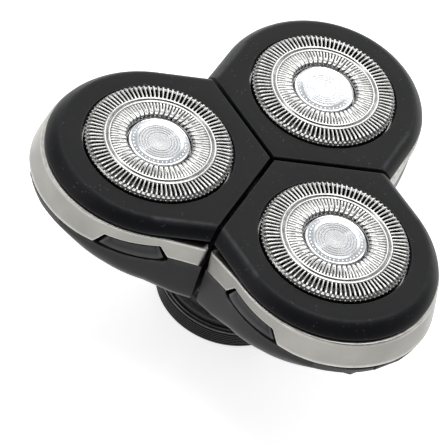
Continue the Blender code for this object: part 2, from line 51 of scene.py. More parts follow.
MM = 0.001
AZ = (180.0, 60.0, -60.0)
D = 18.6
H = 34.0
SEAM = 0.4
TILT = (12.4, 15.6)
HINGE = (35.2, 23.7)


# ================================================================ materials
def new_mat(name):
    m = bpy.data.materials.new(name)
    m.use_nodes = True
    nt = m.node_tree
    return m, nt, nt.nodes["Principled BSDF"]


def node(nt, kind, **inputs):
    n = nt.nodes.new(kind)
    for k, v in inputs.items():
        n.inputs[k.replace("_", " ")].default_value = v
    return n


def noise(nt, co, scale, detail=3.0, rough=0.55):
    n = node(nt, "ShaderNodeTexNoise", Scale=scale, Detail=detail, Roughness=rough)
    nt.links.new(co, n.inputs["Vector"])
    return n


def ranged(nt, value, lo, hi, a=0.3, b=0.7):
    r = nt.nodes.new("ShaderNodeMapRange")
    r.inputs["From Min"].default_value = a
    r.inputs["From Max"].default_value = b
    r.inputs["To Min"].default_value = lo
    r.inputs["To Max"].default_value = hi
    nt.links.new(value, r.inputs["Value"])
    return r.outputs["Result"]


def mixed(nt, fac, a, b):
    m = nt.nodes.new("ShaderNodeMix")
    m.data_type = "RGBA"
    nt.links.new(fac, m.inputs[0])
    for sock, v in ((m.inputs[6], a), (m.inputs[7], b)):
        if isinstance(v, tuple):
            sock.default_value = (*v, 1.0)
        else:
            nt.links.new(v, sock)
    return m.outputs[2]


def surface(name, dark, light, rough, metal=0.0, spec=0.5, grain=(9000.0, 0.006), soft=(260.0, 0.0),
            streak=None, painted_edge_tone=None, coat=0.0, coat_rough=0.1, spread=0.06, patch=220.0, extra=None):
    """A moulded, painted or metal surface.  dark/light: two ends of a slow
    colour drift; grain, soft: (frequency, height in mm) of two bumps; painted_edge_tone:
    colour painted along the edges marked on the mesh, a painted highlight on most
    parts and painted shade in the disc's grooves; streak: (direction scales)."""
    m, nt, p = new_mat(name)
    tc = nt.nodes.new("ShaderNodeTexCoord")
    co = tc.outputs["Object"]
    slow = noise(nt, co, patch, 2.0)
    fine = noise(nt, co, grain[0], 4.0, 0.6)
    col = mixed(nt, ranged(nt, slow.outputs["Fac"], 0.0, 1.0), dark, light)
    speck = ranged(nt, fine.outputs["Fac"], 0.0, 0.35, 0.55, 0.75)
    col = mixed(nt, speck, col, tuple(min(1.0, c * 1.5 + 0.004) for c in light))
    rsrc = fine.outputs["Fac"]
    if streak:
        mp = nt.nodes.new("ShaderNodeMapping")
        mp.inputs["Scale"].default_value = streak
        nt.links.new(co, mp.inputs["Vector"])
        st = noise(nt, mp.outputs["Vector"], 1.0, 3.0)
        rsrc = st.outputs["Fac"]
        col = mixed(nt, ranged(nt, rsrc, 0.0, 0.5), col, tuple(c * 0.72 for c in dark))
    if painted_edge_tone:
        # paints the marked edges: painted highlights on most parts, painted shade in the disc's grooves, broken up by
        # noise
        at = nt.nodes.new("ShaderNodeAttribute")
        at.attribute_name = "edge"
        wn = noise(nt, co, 900.0, 4.0, 0.65)
        mul = nt.nodes.new("ShaderNodeMath")
        mul.operation = "MULTIPLY"
        nt.links.new(at.outputs["Fac"], mul.inputs[0])
        nt.links.new(ranged(nt, wn.outputs["Fac"], 0.45, 1.0), mul.inputs[1])
        col = mixed(nt, mul.outputs[0], col, painted_edge_tone)
    if extra:
        col = extra(nt, co, col)
    nt.links.new(col, p.inputs["Base Color"])
    nt.links.new(ranged(nt, rsrc, max(0.02, rough - spread), min(1.0, rough + spread)), p.inputs["Roughness"])
    p.inputs["Metallic"].default_value = metal
    p.inputs["Specular IOR Level"].default_value = spec
    p.inputs["Coat Weight"].default_value = coat
    p.inputs["Coat Roughness"].default_value = coat_rough
    b = node(nt, "ShaderNodeBump", Strength=1.0, Distance=grain[1] * MM)
    nt.links.new(fine.outputs["Fac"], b.inputs["Height"])
    out = b.outputs["Normal"]
    if soft[1] > 0:
        sf = noise(nt, co, soft[0], 2.0)
        b2 = node(nt, "ShaderNodeBump", Strength=1.0, Distance=soft[1] * MM)
        nt.links.new(sf.outputs["Fac"], b2.inputs["Height"])
        nt.links.new(out, b2.inputs["Normal"])
        out = b2.outputs["Normal"]
    nt.links.new(out, p.inputs["Normal"])
    return m


def flecks(nt, co, col):
    """Sparse pale grains in the moulded black."""
    v = node(nt, "ShaderNodeTexVoronoi", Scale=1500.0)
    nt.links.new(co, v.inputs["Vector"])
    sel = noise(nt, co, 420.0, 2.0)
    dot = ranged(nt, v.outputs["Distance"], 1.0, 0.0, 0.05, 0.20)
    on = ranged(nt, sel.outputs["Fac"], 0.0, 0.55, 0.50, 0.62)
    mul = nt.nodes.new("ShaderNodeMath")
    mul.operation = "MULTIPLY"
    nt.links.new(dot, mul.inputs[0])
    nt.links.new(on, mul.inputs[1])
    return mixed(nt, mul.outputs[0], col, (0.17, 0.17, 0.175))


# The last colour given to most materials below is a painted highlight along marked edges; the disc's grey is painted
# shade in its grooves.
M_LID = surface("lid_black", (0.0060, 0.0063, 0.0075), (0.0088, 0.0092, 0.0105), 0.42, spec=0.15,
                grain=(5200.0, 0.014), soft=(700.0, 0.006), painted_edge_tone=(0.085, 0.086, 0.090), patch=140.0, extra=flecks)
M_SHELL = surface("shell_dark", (0.0060, 0.0062, 0.0072), (0.0090, 0.0093, 0.0105), 0.38, spec=0.20,
                  grain=(7000.0, 0.004), soft=(500.0, 0.004), painted_edge_tone=(0.10, 0.10, 0.105))
M_BUTTON = surface("button_dark", (0.0075, 0.0078, 0.0094), (0.0110, 0.0114, 0.0134), 0.44, spec=0.22,
                   grain=(6000.0, 0.006), painted_edge_tone=(0.09, 0.09, 0.095))
M_HINGE = surface("hinge_black", (0.008, 0.008, 0.009), (0.012, 0.012, 0.013), 0.5, spec=0.4,
                  grain=(5000.0, 0.008), painted_edge_tone=(0.035, 0.035, 0.037))
M_TRAY = surface("tray_black", (0.012, 0.012, 0.013), (0.018, 0.018, 0.019), 0.52, grain=(4200.0, 0.012))
M_COLLAR = surface("collar_black", (0.008, 0.008, 0.009), (0.012, 0.012, 0.013), 0.30, spec=0.5,
                   grain=(5000.0, 0.005), painted_edge_tone=(0.20, 0.20, 0.21))
M_BOOT = surface("rubber_black", (0.011, 0.011, 0.012), (0.017, 0.017, 0.018), 0.62, spec=0.35,
                 grain=(3600.0, 0.020), painted_edge_tone=(0.05, 0.05, 0.052))
M_GREY = surface("grey_plastic", (0.055, 0.056, 0.060), (0.075, 0.076, 0.080), 0.46, grain=(4000.0, 0.010))
M_WHITE = surface("acetal_white", (0.62, 0.61, 0.57), (0.70, 0.69, 0.65), 0.40, grain=(3000.0, 0.004))
M_STEEL = surface("steel", (0.42, 0.42, 0.43), (0.52, 0.52, 0.53), 0.26, metal=1.0, grain=(6000.0, 0.003),
                  streak=(900.0, 900.0, 9000.0))
M_BRASS = surface("brass", (0.50, 0.34, 0.13), (0.62, 0.43, 0.18), 0.28, metal=1.0, grain=(5000.0, 0.003),
                  streak=(700.0, 700.0, 7000.0))
M_TRIM = surface("trim_satin", (0.235, 0.231, 0.215), (0.315, 0.310, 0.288), 0.34, metal=0.95, spec=0.5,
                 grain=(5200.0, 0.0035), soft=(900.0, 0.002), painted_edge_tone=(0.86, 0.84, 0.80), spread=0.05, patch=110.0)
M_GUARD = surface("guard_steel", (0.34, 0.34, 0.332), (0.52, 0.52, 0.51), 0.22, metal=1.0, grain=(7000.0, 0.003),
                  painted_edge_tone=(0.95, 0.95, 0.95), spread=0.09, patch=900.0)
# darker copy of the guard steel for the inner track: painted shade
M_GUARD_TRACK_SHADED = surface("guard_steel_track_painted_shade", (0.075, 0.074, 0.070), (0.15, 0.148, 0.142), 0.23, metal=1.0, grain=(7000.0, 0.003),
                        painted_edge_tone=(0.95, 0.95, 0.94), spread=0.09, patch=900.0)
# darker copy of the guard steel: painted shade on the side wall and on the dish under the disc
M_GUARD_SHADED = surface("guard_steel_painted_shade", (0.020, 0.020, 0.020), (0.035, 0.034, 0.032), 0.34, metal=0.6,
                     grain=(5000.0, 0.004), painted_edge_tone=(0.9, 0.9, 0.9), spread=0.08, patch=700.0)
M_BLADE = surface("blade_steel", (0.13, 0.13, 0.125), (0.20, 0.20, 0.19), 0.30, metal=1.0, grain=(6000.0, 0.003),
                  streak=(1200.0, 1200.0, 6000.0))
M_DISC = surface("disc_polished", (0.90, 0.91, 0.92), (0.95, 0.955, 0.96), 0.16, metal=1.0, grain=(7000.0, 0.0008),
                 soft=(380.0, 0.003), painted_edge_tone=(0.42, 0.47, 0.52), spread=0.05, patch=160.0)

BY_SLOT = {"collar_black": M_COLLAR, "rubber_black": M_BOOT, "steel": M_STEEL, "acetal_white": M_WHITE,
           "grey_plastic": M_GREY, "brass": M_BRASS, "lid_black": M_LID, "shell_dark": M_SHELL,
           "hinge_black": M_HINGE, "trim_satin": M_TRIM, "button_dark": M_BUTTON, "guard_steel": M_GUARD,
           "disc_polished": M_DISC, "tray_black": M_TRAY}


# ================================================================ mesh building
class Geo:
    """Collects vertices, faces, an edge mark per vertex (the mask for painted highlights and painted shade) and a
    material index per face.
    """

    def __init__(self):
        self.v, self.f, self.e, self.m = [], [], [], []

    def add(self, verts, faces, edge=None, mat=0):
        o = len(self.v)
        self.v += [tuple(p) for p in verts]
        self.e += list(edge) if edge is not None else [0.0] * len(verts)
        self.f += [tuple(o + i for i in f) for f in faces]
        self.m += [mat] * len(faces)

    def loft(self, rings, edge=None, loop=False, strips=False, mat=0, caps=True):
        n, k = len(rings[0]), len(rings)
        faces = []
        for i in range(k if loop else k - 1):
            a, b = i * n, ((i + 1) % k) * n
            for j in range(n):
                j2 = (j + 1) % n
                faces.append((a + j, a + j2, b + j2, b + j))
        if not loop and caps:
            for s in (0, (k - 1) * n):
                if strips:
                    for j in range(n // 2):
                        f = (s + j, s + j + 1, s + n - j - 1, s + (n - j) % n)
                        faces.append(tuple(dict.fromkeys(f)))
                else:
                    faces.append(tuple(range(s, s + n)))
        ed = None
        if edge is not None:
            ed = []
            for e in edge:
                ed += list(e) if isinstance(e, (list, tuple)) else [e] * n
        self.add([p for r in rings for p in r], faces, ed, mat)

    def turned(self, profile, seg=72, centre=(0.0, 0.0), edge=None, mat=0):
        """profile: closed (r, z) list, or one that starts and ends on the axis."""
        cx, cy = centre
        n = len(profile)
        on_axis = profile[0][0] < 1e-6
        verts, ed, idx = [], [], []
        for i, (r, z) in enumerate(profile):
            e = edge[i] if edge else 0.0
            if r < 1e-6:
                idx.append([len(verts)] * seg)
                verts.append((cx, cy, z))
                ed.append(e)
            else:
                idx.append([len(verts) + j for j in range(seg)])
                for j in range(seg):
                    a = 2 * pi * j / seg
                    verts.append((cx + r * cos(a), cy + r * sin(a), z))
                    ed.append(e)
        faces = []
        for i in range(n - 1 if on_axis else n):
            p, q = idx[i], idx[(i + 1) % n]
            for j in range(seg):
                j2 = (j + 1) % seg
                f = tuple(dict.fromkeys((p[j], p[j2], q[j2], q[j])))
                if len(f) > 2:
                    faces.append(f)
        self.add(verts, faces, ed, mat)

    def mesh(self, name):
        me = bpy.data.meshes.new(name)
        me.from_pydata(self.v, [], self.f)
        # the edge mark becomes the 'edge' attribute, where the materials paint highlight and shade
        at = me.attributes.new("edge", "FLOAT", "POINT")
        for i, e in enumerate(self.e):
            at.data[i].value = e
        me.polygons.foreach_set("material_index", self.m)
        bm = bmesh.new()
        bm.from_mesh(me)
        bmesh.ops.recalc_face_normals(bm, faces=bm.faces)
        bm.to_mesh(me)
        bm.free()
        me.update()
        return me


def shade(me, angle):
    for f in me.polygons:
        f.use_smooth = True
    me.set_sharp_from_angle(angle=radians(angle))


def piece(name, source, body, mats, az=0.0, angle=35.0, stands_for=(), bevel=0.0):
    """A shown piece: source mesh (mm, lobe frame) turned to its azimuth, in metres."""
    me = source.copy()
    me.name = name
    me.transform(Matrix.Scale(MM, 4) @ Matrix.Rotation(radians(az), 4, "Z"))
    me.materials.clear()
    for m in mats:
        me.materials.append(m)
    shade(me, angle)
    o = bpy.data.objects.new(name, me)
    scene.collection.objects.link(o)
    if bevel > 0:
        bv = o.modifiers.new("edge_round", "BEVEL")
        bv.width = bevel * MM
        bv.segments = 2
        bv.limit_method = "ANGLE"
        bv.angle_limit = radians(34)
        bv.harden_normals = True
    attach(o, body)
    if stands_for:
        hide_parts(*stands_for)
    return o


def boolean(me, cutter, op="DIFFERENCE"):
    """One exact Boolean between two millimetre meshes."""
    a = bpy.data.objects.new("work", me)
    b = bpy.data.objects.new("tool", cutter)
    for o in (a, b):
        scene.collection.objects.link(o)
    md = a.modifiers.new("b", "BOOLEAN")
    md.operation, md.solver, md.object = op, "EXACT", b
    dg = bpy.context.evaluated_depsgraph_get()
    dg.update()
    out = bpy.data.meshes.new_from_object(a.evaluated_get(dg))
    for o in (a, b):
        bpy.data.objects.remove(o, do_unlink=True)
    bm = bmesh.new()
    bm.from_mesh(out)
    bmesh.ops.remove_doubles(bm, verts=bm.verts, dist=1e-4)
    bmesh.ops.dissolve_degenerate(bm, edges=bm.edges, dist=1e-4)
    bmesh.ops.recalc_face_normals(bm, faces=bm.faces)
    bm.to_mesh(out)
    bm.free()
    return out


def box_mesh(x0, x1, y0, y1, z0, z1):
    g = Geo()
    r = [[(x0, y0, z), (x1, y0, z), (x1, y1, z), (x0, y1, z)] for z in (z0, z1)]
    g.loft(r)
    return g.mesh("box")


def rod_mesh(p0, p1, r, seg=32):
    a, b = Vector(p0), Vector(p1)
    q = (b - a).normalized().to_track_quat("Z", "Y")
    g = Geo()
    g.loft([[tuple(c + q @ Vector((r * cos(2 * pi * j / seg), r * sin(2 * pi * j / seg), 0))) for j in range(seg)]
            for c in (a, b)])
    return g.mesh("rod")


def lerp(x, xs, ys):
    if x <= xs[0]:
        return ys[0]
    for i in range(1, len(xs)):
        if x <= xs[i]:
            t = (x - xs[i - 1]) / (xs[i] - xs[i - 1])
            return ys[i - 1] + t * (ys[i] - ys[i - 1])
    return ys[-1]


N_SEAM, N_FLANK, N_ARC = 10, 12, 30


def outline(w, e=0.0, g=SEAM, z=0.0):
    """Closed plan curve of a lobe, as fine as the eye needs."""
    xt = g / sin(radians(60))
    xc = w / tan(radians(60)) + xt
    half = []
    for i in range(1, N_SEAM):
        t = i / N_SEAM
        half.append((xt + (xc - xt) * t, -w * t))
    for i in range(N_FLANK):
        half.append((xc + (D - xc) * i / N_FLANK, -w))
    for i in range(N_ARC):
        a = radians(90 - 90 * i / N_ARC)
        half.append((D + (w + e) * cos(a), -w * sin(a)))
    pts = [(xt, 0.0)] + half + [(D + w + e, 0.0)] + [(x, -y) for x, y in reversed(half)]
    zf = z if callable(z) else (lambda x, y: z)
    return [(x, y, zf(x, y)) for x, y in pts]


def to_circle(ring, r, z, cx=D):
    out = []
    for x, y, _ in ring:
        a = atan2(y, x - cx)
        out.append((cx + r * cos(a), r * sin(a), z))
    return out


def run(x, y, w=17.3):
    if x <= D:
        return x - D
    return w * (pi / 2 - atan2(abs(y), x - D))


def shell_edge(x, y):
    return lerp(run(x, y), (-8.4, -2.6, -2.1, 8.8, 9.3, 12, 15, 20, 27),
                (25.35, 26.5, 25.6, 25.6, 25.7, 25.9, 26.15, 26.4, 26.55))


def flare(run_mm):
    """How far the side leans out at the band's lower edge, towards the outer end."""
    return lerp(run_mm, (9.25, 12, 15, 20, 27), (0.0, 0.45, 0.8, 1.15, 1.35))


def leaned(ring, k):
    out = []
    for x, y, z in ring:
        f = k * flare(run(x, y)) if x > D else 0.0
        a = atan2(y, x - D)
        out.append((x + f * cos(a), y + f * sin(a), z))
    return out


def lift(x, y, k):
    return k * flare(run(x, y)) if x > D else 0.0


def keel(x, y=0.0):
    return lerp(x, (0, 10, 13.6, 18.6, 25, 34, 38), (12.6, 14.2, 15.3, 17.6, 19.2, 20.6, 21.0))


def smooth_rings(st, sub=4):
    """Catmull-Rom between rings, point by point."""
    out = []
    k = len(st)
    for i in range(k - 1):
        p0, p1, p2, p3 = st[max(i - 1, 0)], st[i], st[i + 1], st[min(i + 2, k - 1)]
        for s in range(sub):
            t = s / sub
            a, b, c, d = (-0.5 * t + t * t - 0.5 * t ** 3, 1 - 2.5 * t * t + 1.5 * t ** 3,
                          0.5 * t + 2 * t * t - 1.5 * t ** 3, -0.5 * t * t + 0.5 * t ** 3)
            out.append([tuple(a * w0 + b * w1 + c * w2 + d * w3 for w0, w1, w2, w3 in zip(q0, q1, q2, q3))
                        for q0, q1, q2, q3 in zip(p0, p1, p2, p3)])
    out.append(st[-1])
    return out


# ================================================================ shared lobe meshes (made once)
# ---------------------------------------------------------------- lid cover
def make_lid():
    # last column: edge mark for the painted highlight along the crease and the seam edges
    prof = [(15.02, .32, .24, H, .0), (15.30, .34, .10, H - .012, .35), (15.50, .36, .03, H - .06, .9), (15.66, .39, .0, H - .15, .8),
            (15.90, .43, .0, H - .34, .25), (16.25, .51, .0, H - .70, .0), (16.60, .60, .0, H - 1.09, .0),
            (16.92, .69, .0, H - 1.56, .0), (17.12, .76, .0, H - 1.95, .1), (17.19, .79, .0, H - 2.12, .3),
            (17.17, .80, .02, H - 2.26, .3), (17.05, .80, .08, H - 2.37, .1), (16.0, .9, .8, H - 2.4, .0),
            (15.6, .7, .8, H - 1.2, .0)]
    rings = [outline(w, e, SEAM + dg, z) for w, e, dg, z, _ in prof]
    edge = [[m] * len(rings[0]) for *_, m in prof]
    # the painted highlight mark fades round the outer end, where the crease is soft
    for ring, ed in zip(rings, edge):
        for i, (x, y, z) in enumerate(ring):
            if x > D + 1:
                ed[i] *= 0.35
    base = rings[0]
    # third column: painted highlight on the rim of the guard hole
    hole = [(12.40, H - 1.2, .0), (12.40, H - .16, .0), (12.44, H - .06, .5), (12.52, H - .012, .5), (12.66, H, .0)]
    for r, z, m in hole:
        rings.append(to_circle(base, r, z))
        edge.append([m] * len(base))
    for t in (0.33, 0.66):
        rings.append([(px + (qx - px) * t, py + (qy - py) * t, H) for (px, py, _), (qx, qy, _) in zip(rings[-1 if t < .5 else -2], base)])
        edge.append([0.0] * len(base))
    g = Geo()
    g.loft(rings, edge, loop=True)
    return g.mesh("lid")


# ---------------------------------------------------------------- silver band
LOW = ((-8.3, -5.5, -2.45, -0.85, 2.5, 5.2, 7.75, 9.25, 12, 15, 20, 27.2),
       (25.7, 26.25, 26.9, 29.4, 29.15, 28.9, 28.75, 26.0, 26.25, 26.5, 26.8, 26.95))
TOPZ = ((-8.3, -5.5, -2.45, -0.85, 2.5), (29.9, 30.45, 31.0, 31.2, 31.3))


def side_point(c, w, e=1.05):
    """Point on the side of a lobe at run c and half width w."""
    if c <= 0:
        return D + c, w
    b = max(pi / 2 - c / 17.3, 0.0) if c < 27.15 else 0.0
    return D + (w + e) * cos(b), w * sin(b)


def make_trim():
    cols = set([-8.3, -8.22, -8.1, -7.9])
    c = -7.5
    while c < 27.0:
        cols.add(round(c, 3))
        c += 0.55
    for k in LOW[0]:
        for d in (-0.14, 0.0, 0.14):
            if -8.3 <= k + d <= 27.174:
                cols.add(round(k + d, 3))
    cols.add(27.174)
    cols = sorted(cols)

    def low_at(c):
        # rounded corners: average over a short stretch
        return sum(lerp(c + d, *LOW) for d in (-0.1, 0.0, 0.1)) / 3
    half, eh = [], []
    for c in cols:
        zl, zt = low_at(c), sum(lerp(c + d, *TOPZ) for d in (-.6, 0.0, .6)) / 3
        inset = 0.0
        if c < -8.0:
            inset = (c + 8.0) * 0.5
        b = 0.10
        hgt = zt - zl
        # third number: edge mark for the painted highlight along the band's chamfered edges
        sec = [(16.35, zl, 0), (17.22, zl, .3), (17.29, zl + b * .3, .8), (17.325, zl + b, .5)]
        for t in (0.12, 0.3, 0.5, 0.7, 0.88):
            sec.append((17.335 + 0.06 * sin(pi * t), zl + b + (hgt - 2 * b) * t, 0.0))
        sec += [(17.345, zt - b, .6), (17.29, zt - b * .3, 1.0), (17.20, zt, .6), (16.35, zt, 0)]
        ring, ed = [], []
        for w, z, m in sec:
            t = (z - zl) / max(hgt, .1)
            cc = c
            if c < -5.0:
                cc = c + (1 - t) * 0.45 * ((-5.0 - c) / 3.3)      # the end slants away from the valley
            if z < zl + .2 and c < -8.2:
                cc += 0.06
            x, y = side_point(cc, w + inset)
            fl = flare(c) * (1 - t) * (0.85 if w < 16.5 else 1.0)
            if c > 0:
                b2 = max(pi / 2 - c / 17.3, 0.0) if c < 27.15 else 0.0
                x, y = x + fl * cos(b2), y + fl * sin(b2)
            ring.append((x, y, z))
            # the valley end gets at least 0.6 of the painted highlight
            ed.append(m if c > -8.2 else max(m, .6))
        half.append(ring)
        eh.append(ed)
    rings = half + [[(x, -y, z) for x, y, z in r] for r in reversed(half[:-1])]
    g = Geo()
    g.loft(rings, eh + list(reversed(eh[:-1])))
    return g.mesh("trim")


# ---------------------------------------------------------------- lower shell
def make_shell():
    g0 = SEAM
    skin = [leaned(outline(17.1, 1.1, g0, lambda x, y: shell_edge(x, y) - .16), 0.93),
            leaned(outline(17.05, 1.0, g0 + .1, lambda x, y: min(keel(x) + 4.1, 24.0) + lift(x, y, 0.85)), 0.85),
            leaned(outline(16.55, .6, g0 + .3, lambda x, y: min(keel(x) + 2.6, 23.2) + lift(x, y, 0.6)), 0.45),
            outline(15.3, .1, g0 + .9, lambda x, y: keel(x) + 1.1),
            outline(13.3, -.4, g0 + 1.9, lambda x, y: keel(x) + .25),
            outline(10.0, -.8, g0 + 3.4, lambda x, y: keel(x))]
    outer = smooth_rings(skin, 4)
    rim = [outline(16.0, 1.1, g0 + .25, 28.2), outline(16.0, 1.1, g0 + .25, shell_edge),
           leaned(outline(16.96, 1.1, g0 + .06, shell_edge), 0.93),
           leaned(outline(17.06, 1.1, g0 + .02, lambda x, y: shell_edge(x, y) - .05), 0.93)]
    t, d = 1.1, 1.045
    inner = [outline(14.8, 1.1, g0 + t, 28.2),
             outline(14.8, 1.0, g0 + .1 + t, lambda x, y: min(keel(x) + 4.1, 24.0) + d * .6),
             outline(14.8, .6, g0 + .3 + t, lambda x, y: min(keel(x) + 2.6, 23.2) + d * .8),
             outline(15.3 - t, .1, g0 + .9 + t * .8, lambda x, y: keel(x) + 1.1 + d),
             outline(13.3 - t, -.4, g0 + 1.9 + t * .6, lambda x, y: keel(x) + .25 + d),
             outline(10.0 - t, -.8, g0 + 3.4, lambda x, y: keel(x) + d)]
    rings = list(reversed(inner)) + rim + outer
    # edge marks paint a highlight along the rim under the band
    edge = [0.0] * len(inner) + [0.0, 0.0, .5, .8] + [.4] + [0.0] * (len(outer) - 1)
    s = Geo()
    s.loft(rings, edge, strips=True)
    me = s.mesh("shell")
    c = Geo()
    c.turned([(0, 5), (13.6, 5), (13.6, 40), (0, 40)], 96)
    me = boolean(me, c.mesh("core"))
    pk = []
    for zz in (22.7, 29.0):
        pk.append([(D + q * cos(radians(b)), q * sin(radians(b)), zz)
                   for q, bs in ((16.75, range(-38, 39, 2)), (26.0, (38, 0, -38))) for b in bs])
    p = Geo()
    p.loft(pk)
    me = boolean(me, p.mesh("pocket"))
    me = boolean(me, box_mesh(33.0, 42, -5.7, 5.7, 21.85, 26.95))
    me = boolean(me, box_mesh(33.0, 42, -2.8, 2.8, 21.85, 30))
    for sy in (-1, 1):
        y0, y1 = sorted((sy * 13.0, sy * 19.0))
        me = boolean(me, box_mesh(D - 2.6, D + 9.4, y0, y1, 25.95, 30))
    me = boolean(me, box_mesh(8.0, 14.4, -4.8, 4.8, 10, 19))
    web = boolean(box_mesh(12.4, 15.2, -2.6, 2.6, 14.35, 16.9),
                  rod_mesh((TILT[0], -2.6, TILT[1]), (TILT[0], 2.6, TILT[1]), 1.6, 28), "UNION")
    me = boolean(me, web, "UNION")
    me = boolean(me, rod_mesh((TILT[0], -4, TILT[1]), (TILT[0], 4, TILT[1]), 0.95, 20))
    return me


# ---------------------------------------------------------------- hinge block
def skin_at(b):
    """The shell's outside at polar angle b about the lobe centre: z and radius, rising."""
    rows = []
    for w, e, zf, k in ((15.3, .1, lambda x, y: keel(x) + 1.1, 0.0), (16.55, .6, lambda x, y: min(keel(x) + 2.6, 23.2) + lift(x, y, 0.6), 0.45),
                        (17.05, 1.0, lambda x, y: min(keel(x) + 4.1, 24.0) + lift(x, y, 0.85), 0.85),
                        (17.1, 1.1, lambda x, y: shell_edge(x, y) - .16, 0.93)):
        a = atan2(tan(b) * (w + e), w)
        x, y = D + (w + e) * cos(a), w * sin(a)
        rows.append((zf(x, y), sqrt((x - D) ** 2 + y * y) + k * flare(run(x, y))))
    return rows


def make_hinge_block():
    cad = ((22.95, 23.6, 24.5, 25.4, 26.0, 26.3), (17.6, 18.3, 18.9, 19.3, 19.33, 19.0))
    rr = []
    for j in range(-76, 77, 2):
        b = radians(j / 2.0)
        rows = skin_at(b)
        zs, qs = [z for z, _ in rows], [q for _, q in rows]
        zb = max(zs[0] + (16.95 - qs[0]) / (qs[1] - qs[0]) * (zs[1] - zs[0]), 22.95)
        sec = [(16.85, zb)]
        for i in range(15):
            z = zb + (26.3 - zb) * i / 14
            sec.append((min(lerp(z, zs, qs) + 0.025, lerp(z, *cad)), z))
        sec.append((16.85, 26.3))
        rr.append([(D + q * cos(b), q * sin(b), z) for q, z in sec])
    g = Geo()
    g.loft(rr)
    me = g.mesh("hinge_block")
    bar = Geo()
    bar.loft([[(x, y, z) for x, z in ((34.2, 22.15), (34.6, 22.2), (35.3, 22.8), (35.98, 23.45), (35.98, 24.65), (34.2, 24.65))] for y in (-5.4, 5.4)])
    me = boolean(me, bar.mesh("bar"), "UNION")
    me = boolean(me, box_mesh(33, 40, -2.75, 2.75, 22.45, 27))
    me = boolean(me, rod_mesh((HINGE[0], -5.1, HINGE[1]), (HINGE[0], 5.1, HINGE[1]), 0.6, 20))
    return me


def make_tongue():
    """The lid's own bit of the strip, which fills the gap between the halves of the hinge block."""
    sec = ((34.7, 26.2), (34.7, 25.7), (36.2, 25.7), (36.25, 24.3), (36.7, 24.3), (37.05, 24.5), (37.4, 24.8), (37.68, 25.2), (37.83, 25.6),
           (37.88, 25.95), (37.76, 26.2))
    g = Geo()
    g.loft([[(x, y, z) for x, z in sec] for y in (-2.45, -0.8, 0.8, 2.45)])
    return g.mesh("tongue")


# ---------------------------------------------------------------- release button
def make_button(sy):
    foot, head = (-1.9, 8.8), (-0.55, 7.4)
    n = 16
    rings, edge = [], []
    for i in range(n + 1):
        t = i / n
        fr, hr = foot[0] + (foot[1] - foot[0]) * t, head[0] + (head[1] - head[0]) * t
        top = 29.05 - 0.09 * hr
        low = 25.97 + (0.42 if i == 0 else 0.10 if i == 1 else 0.0)
        ring = []
        for rm, w, z in ((fr, 15.75, low), (fr, 17.02, low), (fr + (hr - fr) * .05, 17.13, low + .14),
                         (fr + (hr - fr) * .5, 17.16, (low + top) / 2), (hr - (hr - fr) * .06, 17.10, top - .16), (hr, 16.96, top - .01), (hr, 16.76, top),
                         (fr + (hr - fr) * 0.65, 16.7, 28.0), (fr + (hr - fr) * 0.6, 15.75, 27.8)):
            if i in (0, n) and w > 16.9:
                w -= 0.10
            if rm <= 0:
                x, y = D + rm, w
            else:
                b = pi / 2 - rm / 17.3
                x, y = D + (w + 0.1) * cos(b), w * sin(b)
            ring.append((x, sy * y, z))
        rings.append(ring)
        # edge marks: painted highlights along the button's corners and ends
        m = .9 if i in (0, n) else 0.0
        edge.append([0, .5, .3 + m, m, .3 + m, .8, .4, 0, 0])
    g = Geo()
    g.loft(rings, edge)
    return g.mesh("button")


# ---------------------------------------------------------------- shaving guard
def sweep(g, stations, ang, mat=0):
    """A bar bent along (r, z) stations round the lobe axis: each station is
    (r, z, normal angle from up towards outward, left, right, left bevel,
    right bevel, depth, edge mark for the painted highlight).  left and right are offsets along the rim."""
    rings, edge = [], []
    for r, z, na, aL, aR, bL, bR, th, m in stations:
        nr, nz = sin(radians(na)), cos(radians(na))
        mid = (aL + bL + aR - bR) / 2
        ring = []
        for off, dep in ((aL, th), (aL, bL), (aL + bL, 0.014), (mid, 0.002), (aR - bR, 0.014), (aR, bR), (aR, th)):
            rr, zz = r - nr * dep, z - nz * dep
            x0, y0 = rr, off
            ring.append((D + x0 * cos(ang) - y0 * sin(ang), x0 * sin(ang) + y0 * cos(ang), zz))
        rings.append(ring)
        edge.append([0.0, m, m, m * .35, m, m, 0.0])
    g.loft(rings, edge, mat=mat)


def wobble(i, k):
    """A small fixed irregularity, the same on every run."""
    return sin(i * 12.9898 + k * 78.233) * 0.5


